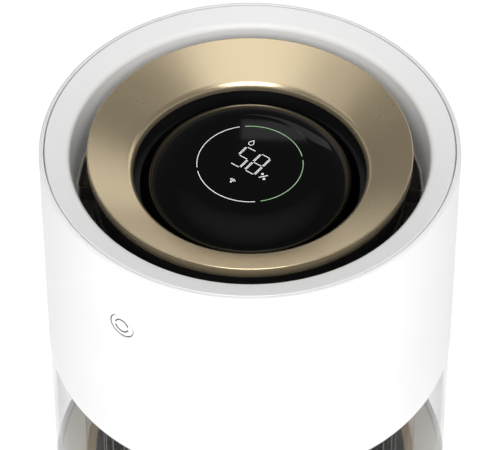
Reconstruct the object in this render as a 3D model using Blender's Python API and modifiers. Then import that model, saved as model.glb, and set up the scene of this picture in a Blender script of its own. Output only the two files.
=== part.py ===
"""Evaporative cool mist humidifier: a fan head standing on a clear water tank.

Metres, +Z up, the button faces -Y. The origin is the centre of the footprint.
The head, the filter, the impeller, the button and the float each move on their own axis.
"""
import math

import bmesh
import bpy
from mathutils import Matrix

# ---- driving dimensions --------------------------------------------------------------------
DRUM_R = 0.130            # outer radius of head, tank and base
TOTAL_H = 0.336           # floor to the rim of the head
HEAD_BOTTOM_Z = 0.1717    # lower edge of the white drum
TANK_FLOOR_Z = 0.0453     # top face of the tank's floor
WALL = 0.003              # wall of the white mouldings
GAP = 0.0003              # clearance between pieces that touch
STEPS = 32                # facets round a large turned piece
SMALL_STEPS = 16          # facets round a small turned piece

# ---- head ----------------------------------------------------------------------------------
EDGE_R = 0.003            # rounding of the drum's upper edge
OUTLET_OUTER_R = 0.112    # where the dished top ring turns down into the outlet
OUTLET_DROP = 0.0043      # how far the top ring slopes down to there
OUTLET_WALL_R = 0.1093    # outer wall of the outlet duct
TOP_RING_END_Z = 0.281    # lower end of that wall
GOLD_R = 0.1006           # outer radius of the gold ring
GOLD_TOP_Z = TOTAL_H - 0.0043
GOLD_SIDE_H = 0.0075
GOLD_CREASE_R = 0.0763    # where the gold dish rolls into its lip
GOLD_CREASE_Z = TOTAL_H - 0.0182
GOLD_BORE_R = 0.0722
GOLD_END_Z = TOTAL_H - 0.0234
GLASS_R = 0.0684          # the domed display's outer radius
GLASS_TOP_Z = TOTAL_H - 0.0164
GLASS_FLAT_R = 0.0420     # radius of its flat middle
GLASS_SHOULDER = 0.0310   # radius of the broad shoulder round the flat middle
GLASS_SKIN = 0.0024
FRAME_Z = 0.2985          # underside of the display's frame
POD_R = 0.0955            # outer radius of the bowl under the gold ring
POD_FLOOR_Z = 0.262
MOTOR_R = 0.028
MOTOR_H = 0.030
SHAFT_R = 0.0025
IMPELLER_R = 0.084
EYE_R = 0.060             # air inlet of the impeller
IMPELLER_TOP_Z = 0.2285
IMPELLER_BOTTOM_Z = 0.1945
BLADES = 9
VANES = 20
BUTTON_Z = TOTAL_H - 0.0507
BUTTON_R = 0.0083
GRILLE_HALF_X = 0.078
GRILLE_LOW_Z = 0.208
GRILLE_HIGH_Z = 0.298
SLOTS = 17
SLOT_W = 0.0026
SOCKET_Z = 0.190
SOCKET_R = 0.0060

# ---- filter and tank -----------------------------------------------------------------------
FILTER_R = 0.0975         # crests of the pleats
PLEAT_DEPTH = 0.012
PLEATS = 60
SHEET = 0.002             # thickness of the pleated sheet
GUARD_R = 0.1095
FILTER_TOP_Z = 0.167
FLOAT_Y = 0.118
FOOT_R = 0.010
FOOT_RING_R = 0.100

FLOAT_R = 0.0075
FLOOR_CORNER = 0.003      # corner between the tank's wall and its floor

# ---- small parts ---------------------------------------------------------------------------
SCREW_HEAD_R = 0.003
SCREW_HEAD_H = 0.0016
MOTOR_SCREW_RING_R = 0.020
HOUSING_SCREW_RING_R = 0.085
BOARD_THICK = 0.0016
LIGHT_GUIDE_INNER_R = 0.0310
LIGHT_GUIDE_OUTER_R = 0.0345

# ---- scene and helpers ---------------------------------------------------------------------
for old in list(bpy.data.objects):
    bpy.data.objects.remove(old, do_unlink=True)

parts = bpy.data.collections.new("cool_mist_humidifier")
cutters = bpy.data.collections.new("cutters")
bpy.context.scene.collection.children.link(parts)
bpy.context.scene.collection.children.link(cutters)


def make_material(name, colour, roughness, metallic=0.0, alpha=1.0):
    """A Principled material."""
    material = bpy.data.materials.new(name)
    material.use_nodes = True
    shader = material.node_tree.nodes["Principled BSDF"]
    shader.inputs["Base Color"].default_value = (*colour, 1.0)
    shader.inputs["Roughness"].default_value = roughness
    shader.inputs["Metallic"].default_value = metallic
    shader.inputs["Alpha"].default_value = alpha
    return material


WHITE = make_material("white_plastic", (0.90, 0.90, 0.90), 0.38)
GOLD = make_material("champagne_metal", (0.60, 0.50, 0.35), 0.30, 1.0)
BLACK = make_material("black_plastic", (0.012, 0.012, 0.013), 0.45)
GLASS_BLACK = make_material("black_glass", (0.006, 0.006, 0.007), 0.05)
CLEAR = make_material("clear_plastic", (0.92, 0.93, 0.94), 0.04, 0.0, 0.2)
TINTED = make_material("tinted_plastic", (0.55, 0.42, 0.25), 0.08, 0.0, 0.4)
MEDIA = make_material("filter_media", (0.03, 0.03, 0.03), 0.9)
RUBBER = make_material("rubber", (0.03, 0.03, 0.03), 0.8)
GREY = make_material("grey_plastic", (0.45, 0.45, 0.46), 0.5)
BOARD = make_material("circuit_board", (0.02, 0.16, 0.07), 0.5)
DIFFUSER = make_material("light_guide", (0.85, 0.87, 0.85), 0.4)
STEEL = make_material("steel", (0.60, 0.60, 0.62), 0.28, 1.0)
FOAM = make_material("foam", (0.06, 0.06, 0.06), 0.95)


def link(obj, material=None):
    """Puts a part in the object's collection, or a cutter in the cutters' collection."""
    if material is None:
        cutters.objects.link(obj)
        obj.hide_render = True
        obj.display_type = "WIRE"
    else:
        parts.objects.link(obj)
        obj.data.materials.append(material)
    return obj


def arc(centre_r, centre_z, radius, start_deg, end_deg, count):
    """Points of an arc in the profile plane, from start to end, both included."""
    points = []
    for i in range(count + 1):
        angle = math.radians(start_deg + (end_deg - start_deg) * i / count)
        points.append((centre_r + radius * math.cos(angle), centre_z + radius * math.sin(angle)))
    return points


def turned(name, profile, material=None, closed=True, steps=STEPS, at=(0.0, 0.0, 0.0)):
    """A profile of (radius, height) points turned about Z; an open profile ends on the axis."""
    mesh = bpy.data.meshes.new(name)
    edges = [(i, i + 1) for i in range(len(profile) - 1)]
    if closed:
        edges.append((len(profile) - 1, 0))
    mesh.from_pydata([(r, 0.0, z) for r, z in profile], edges, [])
    obj = bpy.data.objects.new(name, mesh)
    obj.location = at
    screw = obj.modifiers.new("turn", "SCREW")
    screw.steps = steps
    screw.render_steps = steps
    screw.use_merge_vertices = True
    screw.merge_threshold = 0.00002
    screw.use_smooth_shade = True
    return link(obj, material)


def ring(name, inner_r, outer_r, low_z, high_z, material=None, steps=STEPS, at=(0.0, 0.0, 0.0)):
    """A turned ring of square section."""
    profile = [(outer_r, high_z), (outer_r, low_z), (inner_r, low_z), (inner_r, high_z)]
    return turned(name, profile, material, steps=steps, at=at)


def rod(name, radius, low_z, high_z, material=None, steps=SMALL_STEPS, at=(0.0, 0.0, 0.0)):
    """A solid round bar along Z."""
    profile = [(0.0, high_z), (radius, high_z), (radius, low_z), (0.0, low_z)]
    return turned(name, profile, material, closed=False, steps=steps, at=at)


def box(name, low, high, material=None, turn_z=0.0):
    """A box between two corners, then turned about the Z axis through the origin."""
    centre = [(a + b) / 2 for a, b in zip(low, high)]
    size = [b - a for a, b in zip(low, high)]
    shape = bmesh.new()
    bmesh.ops.create_cube(shape, size=1.0)
    bmesh.ops.scale(shape, vec=size, verts=shape.verts)
    bmesh.ops.translate(shape, vec=centre, verts=shape.verts)
    bmesh.ops.rotate(shape, matrix=Matrix.Rotation(turn_z, 3, "Z"), verts=shape.verts)
    mesh = bpy.data.meshes.new(name)
    shape.to_mesh(mesh)
    shape.free()
    obj = bpy.data.objects.new(name, mesh)
    return link(obj, material)


def many_boxes(name, low, high, turns):
    """One cutter or filler made of the same box at several turns about Z."""
    centre = [(a + b) / 2 for a, b in zip(low, high)]
    size = [b - a for a, b in zip(low, high)]
    shape = bmesh.new()
    for turn in turns:
        made = bmesh.ops.create_cube(shape, size=1.0)["verts"]
        bmesh.ops.scale(shape, vec=size, verts=made)
        bmesh.ops.translate(shape, vec=centre, verts=made)
        bmesh.ops.rotate(shape, matrix=Matrix.Rotation(turn, 3, "Z"), verts=made)
    mesh = bpy.data.meshes.new(name)
    shape.to_mesh(mesh)
    shape.free()
    return link(bpy.data.objects.new(name, mesh))


def along_y(obj, at):
    """Lays a piece that was turned about Z so that its own +Z points to -Y."""
    obj.rotation_euler = (math.radians(90), 0.0, 0.0)
    obj.location = at
    return obj


def combine(obj, operation, other):
    """Adds a Boolean of another shape to a part."""
    step = obj.modifiers.new(operation.lower() + "_" + other.name, "BOOLEAN")
    step.operation = operation
    step.object = other
    step.solver = "EXACT"


def on_circle(radius, count, first_deg):
    """Places evenly spaced on a circle about Z."""
    places = []
    for i in range(count):
        angle = math.radians(first_deg + 360.0 * i / count)
        places.append((radius * math.cos(angle), radius * math.sin(angle)))
    return places


def screw_fastener(name, at, head_r, head_h, shank_r, shank_h, up):
    """A pan-head screw; its shank points up when up is 1 and down when it is -1."""
    profile = [
        (0.0, 0.0),
        (head_r * 0.6, 0.0),
        (head_r, -head_h * 0.5),
        (head_r, -head_h),
        (shank_r, -head_h),
        (shank_r, -head_h - shank_h),
        (0.0, -head_h - shank_h),
    ]
    if up == 1:
        profile = [(r, -z) for r, z in reversed(profile)]
    return turned(name, profile, STEEL, closed=False, steps=12, at=at)


# ---- base ----------------------------------------------------------------------------------
BASE_EDGE_Z = 0.004
DECK_Z = 0.0418
BASE_RIM_Z = 0.0457
PLATE_LOW_Z = 0.0043
PLATE_HIGH_Z = 0.0070
BOSS_R = 0.0050
BASE_SCREW_R = 0.0013
SCREW_PLACES = on_circle(HOUSING_SCREW_RING_R, 3, 30)


def build_base():
    """White base with its plate, screws and rubber feet."""
    rim_r = DRUM_R - WALL - 0.0002
    profile = [(0.0, DECK_Z), (rim_r, DECK_Z), (rim_r, BASE_RIM_Z), (DRUM_R - 0.0006, BASE_RIM_Z)]
    profile += [(DRUM_R, BASE_RIM_Z - 0.0006)]
    profile += arc(DRUM_R - 0.004, BASE_EDGE_Z + 0.004, 0.004, 0, -70, 3)
    profile += [(DRUM_R - WALL, BASE_EDGE_Z), (DRUM_R - WALL, DECK_Z - WALL), (0.0, DECK_Z - WALL)]
    shell = turned("base_shell", profile, WHITE, closed=False)
    plate = rod("base_plate", DRUM_R - WALL - GAP, PLATE_LOW_Z, PLATE_HIGH_Z, GREY, STEPS)
    for i, (x, y) in enumerate(SCREW_PLACES, 1):
        boss = rod(f"base_boss_{i}", BOSS_R, PLATE_HIGH_Z + GAP, DECK_Z - 0.0015, at=(x, y, 0.0))
        combine(shell, "UNION", boss)
    for i, (x, y) in enumerate(SCREW_PLACES, 1):
        hole = rod(f"base_hole_{i}", BASE_SCREW_R + GAP, 0.0, 0.020, at=(x, y, 0.0))
        combine(shell, "DIFFERENCE", hole)
        combine(plate, "DIFFERENCE", hole)
        screw_fastener(f"base_screw_{i}", (x, y, 0.0024), SCREW_HEAD_R, SCREW_HEAD_H, BASE_SCREW_R, 0.013, 1)
    for i, (x, y) in enumerate(on_circle(FOOT_RING_R, 4, 45), 1):
        profile = [(0.0, 0.004), (FOOT_R, 0.004), (FOOT_R, 0.001), (FOOT_R - 0.001, 0.0), (0.0, 0.0)]
        turned(f"foot_{i}", profile, RUBBER, closed=False, steps=SMALL_STEPS, at=(x, y, 0.0))


# ---- tank ----------------------------------------------------------------------------------
TANK_WALL = 0.0026
TANK_OUTER_R = DRUM_R - 0.0004
TANK_RIM_Z = HEAD_BOTTOM_Z - 0.0005
TANK_FOOT_R = 0.1265
FLOAT_LOW_Z = 0.052
FLOAT_H = 0.014
FLOAT_ROD_R = 0.0018
FLOAT_ROD_TOP_Z = 0.122


def build_tank():
    """Clear cup, and the float on its guide at the back."""
    inner_r = TANK_OUTER_R - TANK_WALL
    profile = [(0.0, TANK_FLOOR_Z), (inner_r - FLOOR_CORNER, TANK_FLOOR_Z)]
    profile += [(inner_r, TANK_FLOOR_Z + FLOOR_CORNER), (inner_r, TANK_RIM_Z), (TANK_OUTER_R, TANK_RIM_Z)]
    profile += [(TANK_OUTER_R, BASE_RIM_Z + GAP), (TANK_FOOT_R, BASE_RIM_Z + GAP)]
    profile += [(TANK_FOOT_R, DECK_Z + 0.0005), (0.0, DECK_Z + 0.0005)]
    turned("tank_shell", profile, CLEAR, closed=False)

    low = TANK_FLOOR_Z + GAP
    stop_r = 0.0035
    foot_r = 0.006
    profile = [(0.0, FLOAT_ROD_TOP_Z), (stop_r, FLOAT_ROD_TOP_Z - 0.001), (stop_r, FLOAT_ROD_TOP_Z - 0.003)]
    profile += [(FLOAT_ROD_R, FLOAT_ROD_TOP_Z - 0.003), (FLOAT_ROD_R, low + 0.0025)]
    profile += [(foot_r, low + 0.0015), (foot_r, low), (0.0, low)]
    turned("float_guide", profile, WHITE, closed=False, steps=SMALL_STEPS, at=(0.0, FLOAT_Y, 0.0))

    high = FLOAT_LOW_Z + FLOAT_H
    edge = 0.0015
    depth = 0.002
    profile = [(FLOAT_R - edge, high), (FLOAT_R, high - depth), (FLOAT_R, FLOAT_LOW_Z + depth)]
    bore_r = FLOAT_ROD_R + 0.0005
    profile += [(FLOAT_R - edge, FLOAT_LOW_Z), (bore_r, FLOAT_LOW_Z), (bore_r, high)]
    turned("float", profile, WHITE, steps=SMALL_STEPS, at=(0.0, FLOAT_Y, 0.0))


# ---- filter --------------------------------------------------------------------------------
FILTER_BASE_Z = 0.0460
MEDIA_LOW_Z = 0.0493
MEDIA_HIGH_Z = 0.1610
CORE_R = 0.0820
CORE_WINDOW_HALF_W = 0.024
FILTER_CAP_R = 0.1015
SEAL_HIGH_Z = 0.1703
GUARD_HIGH_Z = 0.1655
GUARD_WINDOWS = 6
GUARD_WINDOW_HALF_W = 0.012
GUARD_WINDOW_Z = (0.062, 0.110)
FILTER_MOUTH_R = 0.0620


def pleat_outline(crest_r, depth):
    """Zigzag outline of a pleated ring."""
    points = []
    for i in range(2 * PLEATS):
        angle = math.pi * i / PLEATS
        radius = crest_r - depth * (i % 2)
        points.append((radius * math.cos(angle), radius * math.sin(angle)))
    return points


def build_filter():
    """Pleated cylinder between two end frames, in a tinted guard."""
    flange_z = FILTER_BASE_Z + 0.003
    profile = [(0.0, flange_z), (GUARD_R, flange_z), (GUARD_R, FILTER_BASE_Z), (0.0, FILTER_BASE_Z)]
    turned("filter_base", profile, BLACK, closed=False)

    curve = bpy.data.curves.new("filter_media", "CURVE")
    curve.dimensions = "2D"
    curve.fill_mode = "BOTH"
    curve.extrude = (MEDIA_HIGH_Z - MEDIA_LOW_Z) / 2
    for crest_r in (FILTER_R, FILTER_R - SHEET):
        spline = curve.splines.new("POLY")
        outline = pleat_outline(crest_r, PLEAT_DEPTH)
        spline.points.add(len(outline) - 1)
        spline.use_cyclic_u = True
        for point, (x, y) in zip(spline.points, outline):
            point.co = (x, y, 0.0, 1.0)
    media = bpy.data.objects.new("filter_media", curve)
    media.location = (0.0, 0.0, (MEDIA_HIGH_Z + MEDIA_LOW_Z) / 2)
    weld = media.modifiers.new("weld", "WELD")
    weld.merge_threshold = 0.00002
    link(media, MEDIA)

    core = ring("filter_core", CORE_R - 0.002, CORE_R, MEDIA_LOW_Z, MEDIA_HIGH_Z, BLACK)
    turns = [math.radians(22.5 + 45 * i) for i in range(4)]
    low = (-FILTER_R, -CORE_WINDOW_HALF_W, MEDIA_LOW_Z + 0.010)
    high = (FILTER_R, CORE_WINDOW_HALF_W, MEDIA_HIGH_Z - 0.010)
    for i, turn in enumerate(turns):
        combine(core, "DIFFERENCE", many_boxes(f"core_slot_{i}", low, high, [turn]))

    top_low = MEDIA_HIGH_Z + GAP
    skirt_z = top_low - 0.006
    skirt_r = FILTER_R + 0.0008
    profile = [(FILTER_CAP_R, FILTER_TOP_Z), (FILTER_CAP_R, skirt_z), (skirt_r, skirt_z)]
    profile += [(skirt_r, top_low), (FILTER_MOUTH_R, top_low), (FILTER_MOUTH_R, FILTER_TOP_Z)]
    turned("filter_top", profile, BLACK)
    ring("filter_seal", FILTER_MOUTH_R + 0.002, FILTER_MOUTH_R + 0.012, FILTER_TOP_Z + GAP, SEAL_HIGH_Z, FOAM)

    guard = ring("filter_guard", GUARD_R - 0.002, GUARD_R, flange_z + GAP, GUARD_HIGH_Z, TINTED)
    low = (-DRUM_R, -GUARD_WINDOW_HALF_W, GUARD_WINDOW_Z[0])
    high = (DRUM_R, GUARD_WINDOW_HALF_W, GUARD_WINDOW_Z[1])
    for i in range(GUARD_WINDOWS):
        turn = math.radians(15 + 180 * i / GUARD_WINDOWS)
        window = many_boxes(f"guard_window_{i}", low, high, [turn])
        combine(guard, "DIFFERENCE", window)


# ---- head: outer casing --------------------------------------------------------------------
PLATE_R = 0.1266
BOTTOM_PLATE_TOP_Z = 0.1757
BOTTOM_PLATE_Z = 0.1732
BOTTOM_SPIGOT_Z = 0.1660  # lower edge of the spigot that centres the head in the tank
BOTTOM_SCREW_Z = 0.1713
AIR_SLOTS = 8


def build_head_casing():
    """White drum with the dished top ring, bottom plate, intake grille and socket."""
    inner_r = DRUM_R - WALL
    profile = [(inner_r, TOTAL_H)]
    profile += arc(inner_r, TOTAL_H - EDGE_R, EDGE_R, 67.5, 0, 3)
    profile += [(DRUM_R, HEAD_BOTTOM_Z), (inner_r, HEAD_BOTTOM_Z)]
    shell = turned("head_shell", profile, WHITE)

    button_hole = along_y(rod("button_hole", BUTTON_R + GAP, 0.115, 0.140, steps=24), (0, 0, BUTTON_Z))
    combine(shell, "DIFFERENCE", button_hole)
    socket_hole = along_y(rod("socket_hole", SOCKET_R + GAP, -0.140, -0.115, steps=24), (0, 0, SOCKET_Z))
    combine(shell, "DIFFERENCE", socket_hole)
    low = (-GRILLE_HALF_X, 0.080, GRILLE_LOW_Z)
    high = (GRILLE_HALF_X, 0.140, GRILLE_HIGH_Z)
    combine(shell, "DIFFERENCE", box("grille_window", low, high))

    grille = ring("intake_grille", inner_r, DRUM_R, GRILLE_LOW_Z - 0.01, GRILLE_HIGH_Z + 0.01, WHITE)
    low = (-GRILLE_HALF_X + GAP, 0.080, GRILLE_LOW_Z + GAP)
    high = (GRILLE_HALF_X - GAP, 0.140, GRILLE_HIGH_Z - GAP)
    combine(grille, "INTERSECT", box("grille_blank", low, high))
    turns = [math.radians(4 * (i - SLOTS // 2)) for i in range(SLOTS)]
    middle = (GRILLE_LOW_Z + GRILLE_HIGH_Z) / 2
    for row, (slot_low, slot_high) in enumerate(
        ((GRILLE_LOW_Z + 0.008, middle - 0.003), (middle + 0.003, GRILLE_HIGH_Z - 0.008))
    ):
        low = (-SLOT_W / 2, 0.115, slot_low)
        high = (SLOT_W / 2, 0.140, slot_high)
        combine(grille, "DIFFERENCE", many_boxes(f"grille_slots_{row}", low, high, turns))

    slope = [(inner_r - GAP, TOTAL_H), (inner_r - GAP, TOTAL_H - 0.007)]
    slope += [(inner_r - 0.0023, TOTAL_H - 0.007), (inner_r - 0.0023, TOTAL_H - 0.0028)]
    slope += [(OUTLET_OUTER_R + 0.0010, TOTAL_H - 0.0068), (OUTLET_WALL_R + 0.0022, TOTAL_H - 0.012)]
    slope += [(OUTLET_WALL_R + 0.0018, TOP_RING_END_Z), (OUTLET_WALL_R - 0.0004, TOP_RING_END_Z)]
    slope += [(OUTLET_WALL_R, TOTAL_H - 0.012)]
    slope += arc(OUTLET_OUTER_R + 0.0004, TOTAL_H - OUTLET_DROP - 0.0030, 0.0030, 172, 108, 3)
    turned("top_ring", slope, WHITE)

    profile = [(PLATE_R, BOTTOM_PLATE_TOP_Z), (PLATE_R, BOTTOM_SPIGOT_Z), (PLATE_R - WALL, BOTTOM_SPIGOT_Z)]
    profile += [(PLATE_R - WALL, BOTTOM_PLATE_Z), (EYE_R + 0.002, BOTTOM_PLATE_Z)]
    profile += [(EYE_R + 0.002, BOTTOM_PLATE_TOP_Z)]
    plate = turned("bottom_plate", profile, WHITE)
    low = (0.1085, -0.015, 0.170)
    high = (0.1205, 0.015, 0.180)
    for i in range(AIR_SLOTS):
        slot = box(f"air_slot_{i}", low, high, turn_z=2 * math.pi * (i + 0.5) / AIR_SLOTS)
        combine(plate, "DIFFERENCE", slot)
    for i, (x, y) in enumerate(on_circle(HOUSING_SCREW_RING_R, 3, 90), 1):
        hole = rod(f"bottom_hole_{i}", 0.0016, 0.165, 0.184, at=(x, y, 0.0))
        combine(plate, "DIFFERENCE", hole)
        place = (x, y, BOTTOM_SCREW_Z)
        screw_fastener(f"bottom_screw_{i}", place, SCREW_HEAD_R, SCREW_HEAD_H, 0.0013, 0.010, 1)


def build_socket():
    """DC socket with its centre pin, and the humidity sensor behind the grille."""
    back_y = DRUM_R - 0.0006
    pin_r = 0.0009
    bore_r = 0.0042
    bore_z = -0.0110
    end_z = -0.0140
    profile = [(0.0, -0.0030), (pin_r, -0.0030), (pin_r, bore_z), (bore_r, bore_z), (bore_r, 0.0)]
    profile += [(SOCKET_R, 0.0), (SOCKET_R, end_z), (0.0, end_z)]
    socket = turned("dc_socket", profile, BLACK, closed=False, steps=24)
    socket.rotation_euler = (math.radians(-90), 0.0, 0.0)
    socket.location = (0.0, back_y, SOCKET_Z)
    box("humidity_sensor", (0.030, 0.1130, 0.240), (0.044, 0.1155, 0.262), BOARD)


# ---- head: gold ring, display and pod ------------------------------------------------------
def build_top():
    """Gold dish, black glass display and the bowl that carries them."""
    skin = 0.0018
    rise = (GOLD_TOP_Z - GOLD_CREASE_Z) / (GOLD_R - GOLD_CREASE_R)
    under = skin * math.sqrt(1 + rise * rise)
    side_z = GOLD_TOP_Z - GOLD_SIDE_H
    lip = 0.0040
    profile = [(GOLD_R - 0.0005, GOLD_TOP_Z), (GOLD_R, GOLD_TOP_Z - 0.0005), (GOLD_R, side_z)]
    profile += [(GOLD_R - skin, side_z), (GOLD_R - skin, GOLD_TOP_Z - skin * rise - under)]
    profile += [(GOLD_CREASE_R, GOLD_CREASE_Z - under), (GOLD_BORE_R + skin, GOLD_END_Z + 0.001)]
    profile += [(GOLD_BORE_R + skin, GOLD_END_Z), (GOLD_BORE_R, GOLD_END_Z)]
    profile += arc(GOLD_BORE_R + lip, GOLD_CREASE_Z - lip, lip, 180, 95, 4)
    turned("gold_ring", profile, GOLD)

    centre_z = GLASS_TOP_Z - GLASS_SHOULDER
    edge_deg = math.degrees(math.acos((GLASS_R - GLASS_FLAT_R) / GLASS_SHOULDER))
    inner_r = GLASS_R - GLASS_SKIN
    inner_shoulder = GLASS_SHOULDER - GLASS_SKIN
    inner_deg = math.degrees(math.acos((inner_r - GLASS_FLAT_R) / inner_shoulder))
    low = GLASS_TOP_Z - 0.0180
    profile = [(0.0, GLASS_TOP_Z)]
    profile += arc(GLASS_FLAT_R, centre_z, GLASS_SHOULDER, 90, edge_deg, 5)
    profile += [(GLASS_R, low), (inner_r, low)]
    profile += arc(GLASS_FLAT_R, centre_z, inner_shoulder, inner_deg, 90, 4)
    profile += [(0.0, GLASS_TOP_Z - GLASS_SKIN)]
    turned("display_glass", profile, GLASS_BLACK, closed=False)

    wall_top = GOLD_END_Z - 0.0004
    frame_r = 0.0746
    frame_inner_r = 0.0726
    ledge_r = 0.0600
    ledge_z = FRAME_Z + 0.0024
    profile = [(frame_r, wall_top), (frame_r, FRAME_Z), (ledge_r, FRAME_Z), (ledge_r, ledge_z)]
    profile += [(frame_inner_r, ledge_z), (frame_inner_r, wall_top)]
    turned("display_frame", profile, BLACK)
    board_z = 0.3092
    board_top_z = board_z + BOARD_THICK
    rod("display_board", 0.0580, board_z, board_top_z, BOARD, steps=24)
    guide_top_z = GLASS_TOP_Z - 0.0030
    guide_z = board_top_z + 0.0004
    ring("light_guide", LIGHT_GUIDE_INNER_R, LIGHT_GUIDE_OUTER_R, guide_z, guide_top_z, DIFFUSER, steps=24)

    floor = POD_FLOOR_Z
    rim_z = 0.3235
    profile = [(0.0, floor + 0.0025), (0.058, floor + 0.0025), (POD_R - 0.008, floor + 0.0120)]
    profile += [(POD_R - 0.002, floor + 0.0230), (POD_R - 0.002, rim_z), (POD_R, rim_z)]
    profile += [(POD_R, floor + 0.0220), (POD_R - 0.006, floor + 0.0098), (0.060, floor), (0.0, floor)]
    pod = turned("pod_bowl", profile, BLACK, closed=False)
    for i, (x, y) in enumerate(on_circle(MOTOR_SCREW_RING_R, 3, 90), 1):
        hole = rod(f"motor_hole_{i}", 0.0018, 0.250, 0.270, at=(x, y, 0.0), steps=12)
        combine(pod, "DIFFERENCE", hole)
        screw_fastener(f"motor_screw_{i}", (x, y, 0.2664), 0.0032, 0.0016, 0.0014, 0.008, -1)

    board = box("main_board", (-0.045, -0.030, 0.2750), (0.045, 0.030, 0.2750 + BOARD_THICK), BOARD)
    chips = (
        ((-0.030, -0.015, 0.2760), (-0.012, 0.003, 0.2785)),
        ((0.005, -0.020, 0.2760), (0.025, -0.008, 0.2880)),
        ((0.010, 0.005, 0.2760), (0.030, 0.020, 0.2820)),
    )
    for i, (low, high) in enumerate(chips, 1):
        combine(board, "UNION", box(f"chip_{i}", low, high))


# ---- head: fan -----------------------------------------------------------------------------
def blade_strip(name):
    """Backward-swept impeller blades, as strips with Solidify."""
    inner_r = 0.046
    outer_r = IMPELLER_R - 0.001
    low = IMPELLER_BOTTOM_Z + 0.0005
    high = IMPELLER_TOP_Z - 0.0010
    count = 4
    shape = bmesh.new()
    for blade in range(BLADES):
        start = 2 * math.pi * blade / BLADES
        columns = []
        for i in range(count + 1):
            share = i / count
            radius = inner_r + (outer_r - inner_r) * share
            angle = start - math.radians(38) * share
            x = radius * math.cos(angle)
            y = radius * math.sin(angle)
            columns.append((shape.verts.new((x, y, low)), shape.verts.new((x, y, high))))
        for (a, b), (c, d) in zip(columns, columns[1:]):
            shape.faces.new((a, c, d, b))
    mesh = bpy.data.meshes.new(name)
    shape.to_mesh(mesh)
    shape.free()
    obj = bpy.data.objects.new(name, mesh)
    thick = obj.modifiers.new("thickness", "SOLIDIFY")
    thick.thickness = 0.0018
    thick.offset = 0.0
    return link(obj)


def build_fan():
    """Motor, shaft, impeller, fan housing, outlet vanes and inlet guard."""
    motor_high = POD_FLOOR_Z - GAP
    motor_low = motor_high - MOTOR_H
    bore = 0.0070
    profile = [(0.0, motor_high), (MOTOR_R - 0.002, motor_high), (MOTOR_R, motor_high - 0.002)]
    profile += [(MOTOR_R, motor_low + 0.002), (MOTOR_R - 0.002, motor_low), (bore, motor_low)]
    profile += [(bore, motor_high - 0.012), (0.0, motor_high - 0.012)]
    motor = turned("motor", profile, STEEL, closed=False, steps=24)
    for i, (x, y) in enumerate(on_circle(MOTOR_SCREW_RING_R, 3, 90), 1):
        hole = rod(f"motor_thread_{i}", 0.0017, 0.2550, 0.2630, at=(x, y, 0.0), steps=12)
        combine(motor, "DIFFERENCE", hole)
    ring("motor_bearing", SHAFT_R + GAP, bore - GAP, motor_low + 0.001, motor_low + 0.006, STEEL, SMALL_STEPS)

    rod("motor_shaft", SHAFT_R, 0.2000, motor_high - 0.0125, STEEL)
    hub_r = 0.012
    hole_r = SHAFT_R + GAP
    profile = [(IMPELLER_R, IMPELLER_TOP_Z), (IMPELLER_R, IMPELLER_TOP_Z - 0.002)]
    profile += [(0.030, IMPELLER_TOP_Z - 0.002), (hub_r, IMPELLER_TOP_Z - 0.009), (hub_r, 0.2060)]
    profile += [(hole_r, 0.2060), (hole_r, IMPELLER_TOP_Z)]
    impeller = turned("impeller", profile, BLACK)
    shroud_profile = [(IMPELLER_R, IMPELLER_BOTTOM_Z + 0.006), (IMPELLER_R, IMPELLER_BOTTOM_Z + 0.004)]
    shroud_profile += [(EYE_R + 0.003, IMPELLER_BOTTOM_Z), (EYE_R + 0.003, IMPELLER_BOTTOM_Z + 0.002)]
    combine(impeller, "UNION", blade_strip("blades"))
    combine(impeller, "UNION", turned("shroud", shroud_profile))
    nut = [(0.0055, 0.2056), (0.0055, 0.2016), (hole_r, 0.2016), (hole_r, 0.2056)]
    turned("shaft_nut", nut, STEEL, steps=12)

    wall_r = OUTLET_WALL_R - 0.0004
    skin = 0.0022
    profile = [(wall_r + skin, TOP_RING_END_Z - GAP), (wall_r + skin, 0.2250), (0.0985, 0.1900)]
    profile += [(0.0960, 0.1860), (EYE_R + 0.001, 0.1860), (EYE_R - 0.001, 0.1880), (EYE_R - 0.001, 0.1925)]
    profile += [(EYE_R + 0.001, 0.1925), (EYE_R + 0.001, 0.1882), (0.0950, 0.1882), (0.0965, 0.1915)]
    profile += [(wall_r, 0.2255), (wall_r, TOP_RING_END_Z - GAP)]
    housing = turned("fan_housing", profile, GREY)
    for i, (x, y) in enumerate(on_circle(HOUSING_SCREW_RING_R, 3, 90), 1):
        boss = rod(f"housing_boss_{i}", 0.0045, 0.1760, 0.1870, at=(x, y, 0.0))
        combine(housing, "UNION", boss)
    for i, (x, y) in enumerate(on_circle(HOUSING_SCREW_RING_R, 3, 90), 1):
        hole = rod(f"housing_hole_{i}", 0.0016, 0.1700, 0.1850, at=(x, y, 0.0))
        combine(housing, "DIFFERENCE", hole)

    low_z = 0.2860
    high_z = 0.2980
    vanes = ring("outlet_vanes", POD_R + GAP, POD_R + 0.002, low_z, high_z, BLACK)
    turns = [2 * math.pi * i / VANES for i in range(VANES)]
    low = (POD_R + 0.001, -0.0006, low_z + 0.0008)
    high = (wall_r - 0.0010, 0.0006, high_z - 0.0008)
    combine(vanes, "UNION", many_boxes("vane_blades", low, high, turns))
    combine(vanes, "UNION", ring("vane_rim", wall_r - 0.002, wall_r - GAP, low_z, high_z))

    guard = ring("inlet_guard", EYE_R - 0.003, EYE_R + 0.001, 0.1768, 0.1792, BLACK)
    for i in range(2):
        low = (-EYE_R + 0.001, -0.001, 0.1772)
        high = (EYE_R - 0.001, 0.001, 0.1788)
        combine(guard, "UNION", many_boxes(f"guard_bar_{i}", low, high, [math.radians(45 + 90 * i)]))
    for i, radius in enumerate((0.020, 0.040)):
        wire = ring(f"guard_ring_{i}", radius - 0.001, radius + 0.001, 0.1770, 0.1790, steps=24)
        combine(guard, "UNION", wire)


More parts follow.
